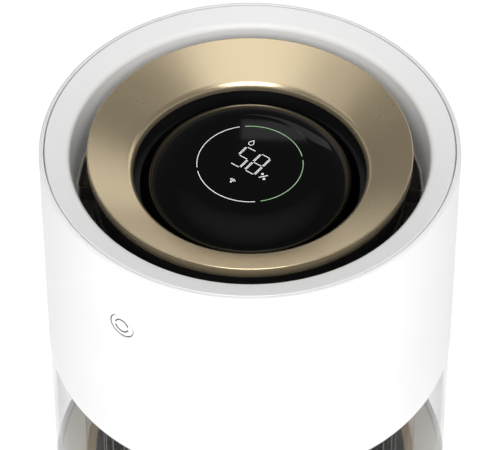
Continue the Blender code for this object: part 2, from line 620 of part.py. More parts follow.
# ---- button --------------------------------------------------------------------------------
def build_button():
    """Round button flush in the drum's front, its housing and its switch."""
    face_y = DRUM_R - 0.0003
    cap_profile = [(0.0, face_y), (BUTTON_R - 0.0004, face_y), (BUTTON_R, face_y - 0.0006)]
    cap_profile += [(BUTTON_R, face_y - 0.0065), (0.0025, face_y - 0.0065), (0.0025, face_y - 0.0085)]
    cap_profile += [(0.0, face_y - 0.0085)]
    cap = turned("button_cap", cap_profile, WHITE, closed=False, steps=24)
    along_y(cap, (0.0, 0.0, BUTTON_Z))

    high = 0.1255
    low = 0.1145
    housing_profile = [(0.0, low + 0.0015), (BUTTON_R + 0.0006, low + 0.0015)]
    housing_profile += [(BUTTON_R + 0.0006, high), (BUTTON_R + 0.0025, high)]
    housing_profile += [(BUTTON_R + 0.0025, low), (0.0, low)]
    housing = turned("button_housing", housing_profile, BLACK, closed=False, steps=24)
    along_y(housing, (0.0, 0.0, BUTTON_Z))

    base = low + 0.0018
    switch_profile = [(0.0, base + 0.0036), (0.0016, base + 0.0036), (0.0016, base + 0.0026)]
    switch_profile += [(0.0030, base + 0.0026), (0.0030, base), (0.0, base)]
    switch = turned("button_switch", switch_profile, GREY, closed=False, steps=12)
    along_y(switch, (0.0, 0.0, BUTTON_Z))


build_base()
build_tank()
build_filter()
build_head_casing()
build_socket()
build_top()
build_fan()
build_button()
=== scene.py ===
"""Looks of the cool mist humidifier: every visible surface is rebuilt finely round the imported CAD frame."""

import math

import bmesh
import bpy
from mathutils import Matrix, Vector


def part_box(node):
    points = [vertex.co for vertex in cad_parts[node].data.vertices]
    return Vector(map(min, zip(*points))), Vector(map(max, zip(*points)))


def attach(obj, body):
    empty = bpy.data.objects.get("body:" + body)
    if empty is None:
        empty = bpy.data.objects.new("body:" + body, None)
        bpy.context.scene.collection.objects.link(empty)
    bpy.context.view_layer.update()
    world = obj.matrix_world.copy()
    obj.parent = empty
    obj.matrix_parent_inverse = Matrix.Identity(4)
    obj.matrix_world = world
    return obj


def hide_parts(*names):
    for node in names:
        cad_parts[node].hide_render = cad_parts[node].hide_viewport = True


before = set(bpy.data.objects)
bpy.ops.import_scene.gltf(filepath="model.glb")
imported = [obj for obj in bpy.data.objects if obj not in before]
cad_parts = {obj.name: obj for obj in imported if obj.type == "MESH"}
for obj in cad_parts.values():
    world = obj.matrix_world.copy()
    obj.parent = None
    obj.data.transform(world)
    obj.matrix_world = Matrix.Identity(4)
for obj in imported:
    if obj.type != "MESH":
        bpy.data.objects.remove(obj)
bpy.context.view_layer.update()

# ---- places and sizes, read from the frame where it has them -------------------------------
SHELL_LOW, SHELL_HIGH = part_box("head_shell")
GOLD_LOW, GOLD_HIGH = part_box("gold_ring")
GLASS_LOW, GLASS_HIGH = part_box("display_glass")
RING_LOW, RING_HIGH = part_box("top_ring")
POD_LOW, POD_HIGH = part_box("pod_bowl")
TANK_LOW, TANK_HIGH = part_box("tank_shell")
BASE_LOW, BASE_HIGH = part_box("base_shell")
GUARD_LOW, GUARD_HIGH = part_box("filter_guard")
MEDIA_LOW, MEDIA_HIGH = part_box("filter_media")
CAP_LOW, CAP_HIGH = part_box("button_cap")
GRILLE_LOW, GRILLE_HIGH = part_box("intake_grille")
SOCKET_LOW, SOCKET_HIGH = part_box("dc_socket")

R = SHELL_HIGH[0]                   # outer radius of the drum
TOP = SHELL_HIGH[2]                 # plane of the drum's rim
WALL = 0.003                        # wall of the white mouldings
INNER_R = R - WALL                  # inner radius of the drum
BUTTON_Z = (CAP_LOW[2] + CAP_HIGH[2]) / 2
BUTTON_R = (CAP_HIGH[0] - CAP_LOW[0]) / 2
SOCKET_Z = (SOCKET_LOW[2] + SOCKET_HIGH[2]) / 2
SOCKET_R = (SOCKET_HIGH[0] - SOCKET_LOW[0]) / 2
BUTTON_GAP = 0.0006                 # groove round the button's cap
EASE = 0.0004                       # chamfer that most edges have
CUT_NEAR = R - 0.05                 # where a cutter through the drum's wall begins,
CUT_FAR = R + 0.02                  # and where it ends, as distances from the axis
FINE = 192                          # facets round a large turned piece
ROUND = 96                          # facets round the button
MEDIUM = 64                         # facets round a small turned piece


# ---- materials -----------------------------------------------------------------------------
ROUGH_DRIFT = 0.15                  # share by which a surface's roughness varies
SHADE_BLEND = 0.0004                  # width of the change from the painted shade to the pale outer colour


def new_material(name, roughness, metallic=0.0):
    """An empty Principled material and the parts of its node tree."""
    material = bpy.data.materials.new(name)
    material.use_nodes = True
    tree = material.node_tree
    shader = tree.nodes["Principled BSDF"]
    shader.inputs["Roughness"].default_value = roughness
    shader.inputs["Metallic"].default_value = metallic
    return material, tree, shader


def noise(tree, scale, detail):
    """A noise texture in the object's own metres."""
    place = tree.nodes.new("ShaderNodeTexCoord")
    texture = tree.nodes.new("ShaderNodeTexNoise")
    texture.inputs["Scale"].default_value = scale
    texture.inputs["Detail"].default_value = detail
    tree.links.new(place.outputs["Object"], texture.inputs["Vector"])
    return texture.outputs["Fac"]


def ramp(tree, factor, low, high, start=0.35, end=0.65):
    """Blends two colours by a factor."""
    node = tree.nodes.new("ShaderNodeValToRGB")
    node.color_ramp.elements[0].position = start
    node.color_ramp.elements[1].position = end
    node.color_ramp.elements[0].color = (*low, 1.0)
    node.color_ramp.elements[1].color = (*high, 1.0)
    tree.links.new(factor, node.inputs["Fac"])
    return node.outputs["Color"]


def spread(tree, factor, low, high):
    """Maps a factor from 0..1 to low..high."""
    node = tree.nodes.new("ShaderNodeMapRange")
    node.inputs["To Min"].default_value = low
    node.inputs["To Max"].default_value = high
    tree.links.new(factor, node.inputs["Value"])
    return node.outputs["Result"]


def add_bump(tree, shader, height, distance):
    """Drives the shader's normal with a height."""
    node = tree.nodes.new("ShaderNodeBump")
    node.inputs["Distance"].default_value = distance
    tree.links.new(height, node.inputs["Height"])
    tree.links.new(node.outputs["Normal"], shader.inputs["Normal"])


def moulded(name, low, high, rough, grain=1400.0, depth=0.00002, metallic=0.0, cloud=14.0, gloss=0.5):
    """A moulded or coated surface: slow colour drift, varied roughness and a fine grain."""
    material, tree, shader = new_material(name, rough, metallic)
    shader.inputs["Specular IOR Level"].default_value = gloss
    drift = noise(tree, cloud, 2.0)
    patches = noise(tree, cloud * 6, 4.0)
    uneven = spread(tree, patches, rough * (1 - ROUGH_DRIFT), rough * (1 + ROUGH_DRIFT))
    tree.links.new(ramp(tree, drift, low, high), shader.inputs["Base Color"])
    tree.links.new(uneven, shader.inputs["Roughness"])
    if depth > 0.0:
        add_bump(tree, shader, noise(tree, grain, 2.0), depth)
    return material


def clear(name, low, high, rough, thin, dense, falloff):
    """A see-through moulding: thin where it is looked through squarely, dense along its edges."""
    material, tree, shader = new_material(name, rough)
    tree.links.new(ramp(tree, noise(tree, 9.0, 1.0), low, high), shader.inputs["Base Color"])
    add_bump(tree, shader, noise(tree, 30.0, 1.0), 0.00002)
    edge = tree.nodes.new("ShaderNodeLayerWeight")
    edge.inputs["Blend"].default_value = 0.5
    power = tree.nodes.new("ShaderNodeMath")
    power.operation = "POWER"
    power.inputs[1].default_value = falloff
    tree.links.new(edge.outputs["Facing"], power.inputs[0])
    tree.links.new(spread(tree, power.outputs["Value"], thin, dense), shader.inputs["Alpha"])
    return material


def shaded_by_radius(name, inner, outer, radius, rough):
    """A moulding that is dark inside a radius from the object's axis, as painted shade, and pale outside it.
    """
    material, tree, shader = new_material(name, rough)
    place = tree.nodes.new("ShaderNodeTexCoord")
    flat = tree.nodes.new("ShaderNodeVectorMath")
    flat.operation = "MULTIPLY"
    flat.inputs[1].default_value = (1.0, 1.0, 0.0)
    reach = tree.nodes.new("ShaderNodeVectorMath")
    reach.operation = "LENGTH"
    tree.links.new(place.outputs["Object"], flat.inputs[0])
    tree.links.new(flat.outputs["Vector"], reach.inputs[0])
    colour = ramp(tree, reach.outputs["Value"], inner, outer, radius, radius + SHADE_BLEND)
    tree.links.new(colour, shader.inputs["Base Color"])
    add_bump(tree, shader, noise(tree, 1800.0, 2.0), 0.00003)
    return material


def lit(name, low, high, strength):
    """A lit graphic with a slightly uneven brightness."""
    material, tree, shader = new_material(name, 0.5)
    colour = ramp(tree, noise(tree, 160.0, 2.0), low, high)
    tree.links.new(colour, shader.inputs["Base Color"])
    tree.links.new(colour, shader.inputs["Emission Color"])
    shader.inputs["Emission Strength"].default_value = strength
    material.cycles.emission_sampling = "NONE"
    return material


WHITE = moulded("white_moulding", (0.865, 0.865, 0.865), (0.885, 0.885, 0.882), 0.42)
WHITE_RING = moulded("white_ring", (0.875, 0.875, 0.873), (0.895, 0.895, 0.892), 0.40)
CREAM = moulded("cream_deck", (0.93, 0.89, 0.80), (0.96, 0.92, 0.83), 0.45)
BROWN = moulded("brown_flange", (0.34, 0.25, 0.14), (0.40, 0.30, 0.17), 0.35)
DIFFUSER = moulded("light_diffuser", (0.75, 0.78, 0.76), (0.82, 0.84, 0.82), 0.4)
LINE = moulded("printed_line", (0.020, 0.020, 0.021), (0.032, 0.032, 0.033), 0.5)
PALE_RIB = moulded("pale_rib", (0.20, 0.20, 0.19), (0.30, 0.30, 0.28), 0.4, grain=900.0)
GLASS_EDGE = moulded("glass_edge", (0.002, 0.002, 0.002), (0.004, 0.004, 0.004), 0.7, gloss=0.08)
BLACK = moulded(
    "black_moulding", (0.006, 0.006, 0.0065), (0.010, 0.010, 0.011), 0.42, grain=1800.0, depth=0.00003
)
GREY = moulded("grey_moulding", (0.30, 0.30, 0.31), (0.34, 0.34, 0.35), 0.5, grain=1600.0, depth=0.00004)
# the outlet's white wall, painted darker and warmer than the white collar as painted shade and painted warm
# bounce from the gold dish
DUCT_SHADED = moulded("duct_painted_shade", (0.60, 0.57, 0.52), (0.64, 0.61, 0.56), 0.5, grain=1600.0, depth=0.00004)
RUBBER = moulded(
    "rubber_foot", (0.018, 0.018, 0.018), (0.028, 0.028, 0.028), 0.8, grain=900.0, depth=0.00008
)
GLASS_BLACK = moulded(
    "black_glass", (0.0008, 0.0009, 0.0011), (0.0012, 0.0013, 0.0015), 0.035, grain=40.0, depth=0.000002
)
GOLD = moulded(
    "champagne_metal", (0.71, 0.585, 0.385), (0.74, 0.610, 0.405), 0.26,
    depth=0.0, metallic=0.82, cloud=9.0,
)
STEEL = moulded(
    "machined_steel", (0.50, 0.50, 0.51), (0.58, 0.58, 0.59), 0.28,
    grain=3000.0, metallic=1.0, cloud=60.0,
)
BOARD = moulded(
    "solder_mask", (0.010, 0.085, 0.035), (0.016, 0.110, 0.048), 0.35,
    grain=700.0, depth=0.00006, cloud=220.0,
)
MEDIA = moulded(
    "wick_fabric", (0.004, 0.004, 0.004), (0.010, 0.010, 0.009), 0.85,
    grain=700.0, depth=0.00030, cloud=260.0, gloss=0.12,
)
FOAM = moulded(
    "seal_foam", (0.020, 0.020, 0.020), (0.045, 0.045, 0.045), 0.9,
    grain=600.0, depth=0.00030, cloud=300.0,
)
# the outlet vanes: near-black inside the radius as painted shade deep in the outlet, and pale outside it in
# the outlet wall's painted-shade colour
VANE_SHADED = shaded_by_radius("vane_painted_shade", (0.012, 0.010, 0.008), (0.60, 0.57, 0.52), radius=0.1060, rough=0.85)
CLEAR = clear(
    "clear_moulding", (0.33, 0.34, 0.34), (0.38, 0.39, 0.39),
    rough=0.03, thin=0.008, dense=0.55, falloff=5.2,
)
CLEAR_EDGE = clear(
    "clear_edge", (0.42, 0.43, 0.43), (0.47, 0.48, 0.48),
    rough=0.05, thin=0.50, dense=0.90, falloff=1.0,
)
TINTED = clear(
    "tinted_moulding", (0.50, 0.38, 0.22), (0.56, 0.43, 0.26),
    rough=0.20, thin=0.004, dense=0.80, falloff=15.0,
)
LIT_WHITE = lit("lit_white", (0.66, 0.68, 0.68), (0.80, 0.81, 0.81), 0.60)
LIT_GREEN = lit("lit_green", (0.22, 0.38, 0.20), (0.32, 0.50, 0.30), 0.55)


# ---- shape helpers -------------------------------------------------------------------------
def finish_mesh(obj, material, sharp_deg=35.0):
    """Smooth shading with sharp edges kept, and the material."""
    obj.data.materials.clear()
    obj.data.materials.append(material)
    obj.data.shade_smooth()
    obj.data.set_sharp_from_angle(angle=math.radians(sharp_deg))
    return obj


def arc(centre_r, centre_z, radius, start_deg, end_deg, count=8):
    """Points of an arc in the profile plane, from start to end, both included."""
    points = []
    for i in range(count + 1):
        angle = math.radians(start_deg + (end_deg - start_deg) * i / count)
        points.append((centre_r + radius * math.cos(angle), centre_z + radius * math.sin(angle)))
    return points


def lathe(name, profile, material, closed=True, steps=FINE, at=(0.0, 0.0, 0.0), sharp_deg=35.0):
    """Spins a profile of (radius, height) points about Z; an open profile ends on the axis."""
    shape = bmesh.new()
    verts = [shape.verts.new((r, 0.0, z)) for r, z in profile]
    edges = [shape.edges.new(pair) for pair in zip(verts, verts[1:])]
    if closed:
        edges.append(shape.edges.new((verts[-1], verts[0])))
    bmesh.ops.spin(
        shape,
        geom=verts + edges,
        cent=(0.0, 0.0, 0.0),
        axis=(0.0, 0.0, 1.0),
        angle=2 * math.pi,
        steps=steps,
        use_merge=True,
    )
    bmesh.ops.remove_doubles(shape, verts=shape.verts, dist=0.000002)
    bmesh.ops.recalc_face_normals(shape, faces=shape.faces)
    bmesh.ops.translate(shape, vec=at, verts=shape.verts)
    mesh = bpy.data.meshes.new(name)
    shape.to_mesh(mesh)
    shape.free()
    obj = bpy.data.objects.new(name, mesh)
    bpy.context.scene.collection.objects.link(obj)
    return finish_mesh(obj, material, sharp_deg)


def lay_along_y(obj, centre_z, outward):
    """Turns a piece spun about Z so that its +Z points to -Y (outward -1) or +Y (outward 1)."""
    turn = Matrix.Rotation(math.radians(-90 * outward), 4, "X")
    obj.data.transform(Matrix.Translation((0.0, 0.0, centre_z)) @ turn)
    obj.data.update()
    return obj


def block(shape, low, high, turn_z=0.0):
    """Adds a box to a bmesh, turned about the Z axis."""
    made = bmesh.ops.create_cube(shape, size=1.0)["verts"]
    size = [b - a for a, b in zip(low, high)]
    centre = [(a + b) / 2 for a, b in zip(low, high)]
    bmesh.ops.scale(shape, vec=size, verts=made)
    bmesh.ops.translate(shape, vec=centre, verts=made)
    bmesh.ops.rotate(shape, matrix=Matrix.Rotation(turn_z, 3, "Z"), verts=made)


def object_from(shape, name, material=None):
    """Turns a bmesh into an object."""
    mesh = bpy.data.meshes.new(name)
    shape.to_mesh(mesh)
    shape.free()
    obj = bpy.data.objects.new(name, mesh)
    bpy.context.scene.collection.objects.link(obj)
    if material:
        finish_mesh(obj, material)
    return obj


def cut(obj, cutter, operation="DIFFERENCE"):
    """Applies a Boolean and removes the other shape."""
    step = obj.modifiers.new("cut", "BOOLEAN")
    step.operation = operation
    step.object = cutter
    step.solver = "EXACT"
    graph = bpy.context.evaluated_depsgraph_get()
    mesh = bpy.data.meshes.new_from_object(obj.evaluated_get(graph))
    obj.modifiers.clear()
    old = obj.data
    obj.data = mesh
    bpy.data.meshes.remove(old)
    bpy.data.objects.remove(cutter, do_unlink=True)


def settle(obj, body, slot, *nodes):
    """The piece rides on a body and stands for CAD nodes; its slot is not used."""
    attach(obj, body)
    if nodes:
        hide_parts(*nodes)


# ---- white drum with its grille and socket -------------------------------------------------
def wall_cutter(radius, height, outward):
    """A round cutter through the drum's wall at its front (outward -1) or back (outward 1)."""
    profile = [(0.0, CUT_FAR), (radius, CUT_FAR), (radius, CUT_NEAR), (0.0, CUT_NEAR)]
    return lay_along_y(lathe("hole", profile, WHITE, False, MEDIUM), height, outward)


def build_drum():
    """The drum: one smooth wall with a rounded rim, two round holes and the grille's window."""
    low = SHELL_LOW[2]
    rim = 0.0026                    # rounding of the rim
    foot = 0.0005                   # rounding of the lower edge
    band = 0.02                     # height of the facets next to the two roundings
    gap = 0.0003                    # clearance round the grille and the socket
    profile = [(INNER_R, TOP - EASE), (INNER_R + EASE, TOP)]
    profile += arc(R - rim, TOP - rim, rim, 90, 0, 10)
    profile += [(R, TOP - band), (R, low + band)]
    profile += arc(R - foot, low + foot, foot, 0, -90, 4)
    profile += [(INNER_R, low)]
    drum = lathe("drum", profile, WHITE)
    cut(drum, wall_cutter(BUTTON_R + BUTTON_GAP, BUTTON_Z, -1))
    cut(drum, wall_cutter(SOCKET_R + gap, SOCKET_Z, 1))
    shape = bmesh.new()
    window_low = (GRILLE_LOW[0] - gap, CUT_NEAR, GRILLE_LOW[2] - gap)
    window_high = (GRILLE_HIGH[0] + gap, CUT_FAR, GRILLE_HIGH[2] + gap)
    block(shape, window_low, window_high)
    cut(drum, object_from(shape, "window"))
    finish_mesh(drum, WHITE)
    settle(drum, "head", "white_plastic", "head_shell")


def slot_cutter(shape, half_w, low, high, turn):
    """Adds to a bmesh a round-ended slot through the wall, at an angle about Z."""
    reach = 0.012                   # how far the cutter goes to each side of the drum's face
    outline = arc(0.0, high - half_w, half_w, 0, 180) + arc(0.0, low + half_w, half_w, 180, 360)
    verts = [shape.verts.new((x, R - reach, z)) for x, z in outline]
    face = shape.faces.new(verts)
    made = bmesh.ops.extrude_face_region(shape, geom=[face])["geom"]
    moved = [item for item in made if isinstance(item, bmesh.types.BMVert)]
    bmesh.ops.translate(shape, vec=(0.0, 2 * reach, 0.0), verts=moved)
    bmesh.ops.rotate(shape, matrix=Matrix.Rotation(turn, 3, "Z"), verts=verts + moved)


def build_grille():
    """Curved intake panel with two rows of round-ended slots."""
    low, high = GRILLE_LOW[2], GRILLE_HIGH[2]
    middle = (low + high) / 2
    spare = 0.01                    # height beyond the panel that the blank cuts off again
    border = 0.008                  # plain strip above and below the slots
    bar = 0.003                     # half the bar between the two rows
    half_w = 0.0013                 # half the width of a slot
    each_side = 8                   # slots on each side of the middle one
    pitch_deg = 4                   # angle from slot to slot
    profile = [(R, high + spare), (R, low - spare), (INNER_R, low - spare), (INNER_R, high + spare)]
    panel = lathe("grille_panel", profile, WHITE, steps=FINE * 3 // 2)
    shape = bmesh.new()
    block(shape, (GRILLE_LOW[0], CUT_NEAR, low), (GRILLE_HIGH[0], CUT_FAR, high))
    cut(panel, object_from(shape, "blank"), "INTERSECT")
    shape = bmesh.new()
    for i in range(-each_side, each_side + 1):
        turn = math.radians(pitch_deg * i)
        slot_cutter(shape, half_w, low + border, middle - bar, turn)
        slot_cutter(shape, half_w, middle + bar, high - border, turn)
    bmesh.ops.recalc_face_normals(shape, faces=shape.faces)
    cut(panel, object_from(shape, "slots"))
    finish_mesh(panel, WHITE)
    settle(panel, "head", "white_plastic", "intake_grille")


def build_socket():
    """DC socket with a chamfered mouth and its pin."""
    length = SOCKET_HIGH[1] - SOCKET_LOW[1]
    mouth = 0.0042                  # radius of the mouth
    depth = 0.0110                  # depth of the mouth
    flare = 0.0006                  # chamfer of the mouth
    pin = 0.0009                    # radius of the pin
    tip = 0.0028                    # how far the pin's tip stands back
    bevel = 0.0005                  # bevel of the pin's tip
    profile = [(0.0, -tip), (pin - EASE, -tip), (pin, -tip - bevel), (pin, -depth), (mouth, -depth)]
    profile += [(mouth, -flare), (mouth + flare, 0.0), (SOCKET_R - EASE, 0.0), (SOCKET_R, -EASE)]
    profile += [(SOCKET_R, -length), (0.0, -length)]
    socket = lathe("socket", profile, BLACK, False, MEDIUM)
    lay_along_y(socket, SOCKET_Z, 1)
    socket.data.transform(Matrix.Translation((0.0, SOCKET_HIGH[1], 0.0)))
    settle(socket, "head", "black_plastic", "dc_socket")


# ---- dished top: white ring, gold ring, display --------------------------------------------
def build_top_ring():
    """White ring that slopes into the outlet and rolls over into its outer wall."""
    low = RING_LOW[2]
    outer = RING_HIGH[0]
    drop = 0.0035                   # fall of the slope from the rim to its inner edge
    edge_r = 0.1146                 # radius of that inner edge
    roll = 0.0053                   # radius of the roll over into the outlet
    wall_r = 0.1093                 # radius of the outlet's outer wall
    hem = 0.007                     # depth of the hem inside the drum
    skin = 0.002                    # thickness of the hem
    gap = 0.0003                    # clearance between hem and drum
    slope = math.degrees(math.atan2(drop, outer - edge_r))
    centre_r = edge_r + roll * math.sin(math.radians(slope))
    centre_z = TOP - drop - roll * math.cos(math.radians(slope))
    outer -= gap
    profile = [(outer, TOP - 0.0008), (outer, TOP - hem), (outer - skin, TOP - hem)]
    profile += [(outer - skin, TOP - 0.0030), (edge_r + 0.0010, TOP - 0.0058)]
    profile += [(wall_r + 0.0028, TOP - 0.0110), (wall_r + 0.0018, low)]
    profile += [(wall_r - EASE, low), (wall_r, TOP - 0.0130)]
    profile += arc(centre_r, centre_z, roll, 176, 90 + slope, 16)
    profile += [(outer - 0.0006, TOP - 0.0002)]
    ring = lathe("outlet_collar", profile, WHITE_RING)
    settle(ring, "head", "white_plastic", "top_ring")


def build_gold_ring():
    """Champagne dish: thin outer rim, conical flange and a rolled inner lip."""
    outer = GOLD_HIGH[0]
    top = GOLD_HIGH[2]
    low = GOLD_LOW[2]
    bore = 0.0722                   # radius of the opening for the display
    lip = 0.0064                    # radius of the rolled lip
    bead_deg = 12                   # the roll goes on this far past the cone, as a fine bead
    slope_deg = 29.8                # slope of the cone
    skin = 0.0016                   # thickness of the metal
    edge = 0.0006                   # rounding of the outer rim
    side = top - 0.0075             # lower end of the outer rim
    slope = math.radians(slope_deg)
    centre_r = bore + lip
    run = outer - edge - (centre_r - lip * math.sin(slope))
    centre_z = top - lip * math.cos(slope) - run * math.tan(slope)
    profile = arc(outer - edge, top - edge, edge, 118, 0, 6)
    profile += [(outer, side + EASE), (outer - EASE, side), (outer - skin, side)]
    profile += [(outer - skin, top - skin - 0.0030)]
    profile += [(centre_r + 0.001, centre_z + lip - 0.0022), (bore + skin, centre_z - 0.0005)]
    profile += [(bore + skin, low + 0.0003), (bore + skin - 0.0003, low), (bore, low)]
    profile += arc(centre_r, centre_z + 0.0004, lip, 180, 90 + slope_deg - bead_deg, 22)
    ring = lathe("gold_dish", profile, GOLD, sharp_deg=50.0)
    settle(ring, "head", "champagne_metal", "gold_ring")


GLASS_FLAT_R = 0.042                # radius of the display's nearly flat middle
GLASS_CROWN = 0.0003                # how far that middle bulges
GLASS_SHOULDER = 0.031              # radius of the broad shoulder round it
PRINT_LIFTS = (0.00002, 0.00012)    # underside and top of a lit line, over the glass
THIN_LINE = 0.00042                 # width of the light ring and the drop
BOLD_LINE = 0.00050                 # width of the percent sign and the signal's dot
SIGNAL_LINE = 0.00048               # width of the signal's arcs


def glass_height(radius):
    """Height of the display's nearly flat middle at a radius."""
    return GLASS_HIGH[2] - GLASS_CROWN * (radius / GLASS_FLAT_R) ** 2


def build_display():
    """Black glass puck, its frame, and the lit graphics on its face."""
    outer = GLASS_HIGH[0]
    low = GLASS_LOW[2]
    skin = 0.0024                   # thickness of the glass
    rings = 16                      # facets from the middle to the shoulder
    side_limit = 0.2                # faces whose normal rises less than this are the puck's side
    edge_z = glass_height(GLASS_FLAT_R)
    centre_z = edge_z - GLASS_SHOULDER
    edge_deg = math.degrees(math.acos((outer - GLASS_FLAT_R) / GLASS_SHOULDER))
    inner_deg = math.degrees(math.acos((outer - skin - GLASS_FLAT_R) / (GLASS_SHOULDER - skin)))
    tilt = math.degrees(2 * GLASS_CROWN / GLASS_FLAT_R)
    flat_radii = [GLASS_FLAT_R * i / rings for i in range(1, rings)]
    profile = [(0.0, GLASS_HIGH[2])] + [(radius, glass_height(radius)) for radius in flat_radii]
    profile += arc(GLASS_FLAT_R, centre_z, GLASS_SHOULDER, 90 - tilt, edge_deg, 28)
    profile += [(outer, low + EASE), (outer - EASE, low), (outer - skin, low)]
    profile += arc(GLASS_FLAT_R, centre_z, GLASS_SHOULDER - skin, inner_deg, 90, 10)
    profile += [(0.0, edge_z - skin)]
    puck = lathe("display_puck", profile, GLASS_BLACK, False)
    puck.data.materials.append(GLASS_EDGE)
    for face in puck.data.polygons:
        if abs(face.normal.z) < side_limit:
            face.material_index = 1
    settle(puck, "head", "black_glass", "display_glass")

    low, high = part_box("display_frame")
    wall = 0.0020                   # thickness of the gutter's wall
    ledge_r = 0.0600                # inner radius of the gutter's floor
    ledge_z = low[2] + 0.0024       # top of the gutter's floor
    profile = [(high[0] - EASE, high[2]), (high[0], high[2] - EASE), (high[0], low[2]), (ledge_r, low[2])]
    profile += [(ledge_r, ledge_z - EASE), (ledge_r + EASE, ledge_z), (high[0] - wall, ledge_z)]
    profile += [(high[0] - wall, high[2])]
    gutter = lathe("display_gutter", profile, BLACK)
    settle(gutter, "head", "black_plastic", "display_frame")
    build_graphics()


def strip(points, width, name, material):
    """A thin flat line on the display's face through points in its plane."""
    shape = bmesh.new()
    rows = []
    for i, (x, y) in enumerate(points):
        before = Vector(points[max(i - 1, 0)])
        after = Vector(points[min(i + 1, len(points) - 1)])
        along = (after - before).normalized()
        side = Vector((-along.y, along.x)) * width / 2
        row = []
        for lift in PRINT_LIFTS:
            for sign in (1, -1):
                px = x + side.x * sign
                py = y + side.y * sign
                row.append(shape.verts.new((px, py, glass_height(math.hypot(px, py)) + lift)))
        rows.append(row)
    for a, b in zip(rows, rows[1:]):
        for i, j in ((0, 1), (1, 3), (3, 2), (2, 0)):
            shape.faces.new((a[i], a[j], b[j], b[i]))
    for row in (rows[0], rows[-1]):
        shape.faces.new((row[0], row[1], row[3], row[2]))
    bmesh.ops.recalc_face_normals(shape, faces=shape.faces)
    return object_from(shape, name, material)


def circle_points(centre, radius, start_deg, end_deg, count):
    """Points along an arc in the display's plane."""
    points = []
    for i in range(count + 1):
        angle = math.radians(start_deg + (end_deg - start_deg) * i / count)
        points.append((centre[0] + radius * math.cos(angle), centre[1] + radius * math.sin(angle)))
    return points


SEGMENTS = {
    "5": ("top", "upper_left", "middle", "lower_right", "bottom"),
    "8": ("top", "upper_left", "upper_right", "middle", "lower_left", "lower_right", "bottom"),
}


def build_digit(digit, centre, label):
    """One seven-segment digit, with single lines across and double lines upright."""
    half_w = 0.0036                 # half the width of a digit
    half_h = 0.0086                 # half its height
    inset = 0.0007                  # gap between a segment's end and the corner
    twin_gap = 0.00084              # distance between the two lines of an upright segment
    cx, cy = centre
    level = {"top": half_h, "middle": 0.0, "bottom": -half_h}
    for part in SEGMENTS[digit]:
        if part in level:
            y = cy + level[part]
            line = [(cx - half_w + inset, y), (cx + half_w - inset, y)]
            width = 0.00045
        else:
            x = cx - half_w if "left" in part else cx + half_w
            x -= twin_gap / 2
            low, high = (0.0, half_h) if "upper" in part else (-half_h, 0.0)
            line = [(x, cy + low + inset), (x, cy + high - inset)]
            width = 0.00040
            twin = [(px + twin_gap, py) for px, py in line]
            settle(strip(twin, width, f"{label}_{part}_twin", LIT_WHITE), "head", "light_guide")
        piece = strip(line, width, f"{label}_{part}", LIT_WHITE)
        settle(piece, "head", "light_guide")


def build_graphics():
    """Ring of four lit arcs, the humidity figure and the small symbols round it."""
    ring_r = 0.2528 * R
    half_deg = 42                   # half the angle that one lit arc covers
    arcs = (
        ("right", 0, LIT_GREEN),
        ("top", 90, LIT_GREEN),
        ("left", 180, LIT_WHITE),
        ("bottom", 270, LIT_WHITE),
    )
    for label, middle, material in arcs:
        points = circle_points((0.0, 0.0), ring_r, middle - half_deg, middle + half_deg, 40)
        settle(strip(points, THIN_LINE, f"light_arc_{label}", material), "head", "light_guide")
    build_digit("5", (-0.051 * R, 0.015 * R), "tens")
    build_digit("8", (0.033 * R, 0.017 * R), "units")

    centre = Vector((0.102 * R, -0.032 * R))
    end = Vector((0.0018, 0.0024))
    pieces = [strip([centre - end, centre + end], BOLD_LINE, "percent_bar", LIT_WHITE)]
    for i, offset in enumerate(((-0.0016, 0.0014), (0.0016, -0.0014))):
        dot = circle_points(centre + Vector(offset), 0.0006, 0, 360, 12)
        pieces.append(strip(dot, BOLD_LINE, f"percent_dot_{i}", LIT_WHITE))

    spot = (-0.076 * R, 0.116 * R)
    point = (spot[0], spot[1] + 0.0026)
    drop = circle_points((spot[0], spot[1] - 0.0006), 0.0016, -210, 30, 14)
    pieces.append(strip([point] + drop + [point], THIN_LINE, "drop_symbol", LIT_WHITE))

    foot = (0.0, -0.138 * R - 0.0018)
    pieces.append(strip(circle_points(foot, 0.0003, 0, 360, 10), BOLD_LINE, "signal_dot", LIT_WHITE))
    for i in range(2):
        points = circle_points(foot, 0.0015 + 0.0012 * i, 45, 135, 10)
        pieces.append(strip(points, SIGNAL_LINE, f"signal_arc_{i}", LIT_WHITE))
    for piece in pieces:
        settle(piece, "head", "light_guide")


def build_pod():
    """Dark bowl under the dish."""
    outer = POD_HIGH[0]
    low, high = POD_LOW[2], POD_HIGH[2]
    skin = 0.002                    # thickness of the side
    floor = 0.0025                  # thickness of the bottom
    profile = [(0.0, low + floor), (0.058, low + floor), (outer - 0.008, low + 0.012)]
    profile += [(outer - skin, low + 0.023), (outer - skin, high), (outer, high)]
    profile += [(outer, low + 0.022), (outer - 0.006, low + 0.0098), (0.060, low), (0.0, low)]
    bowl = lathe("pod", profile, BLACK, False)
    settle(bowl, "head", "black_plastic", "pod_bowl")


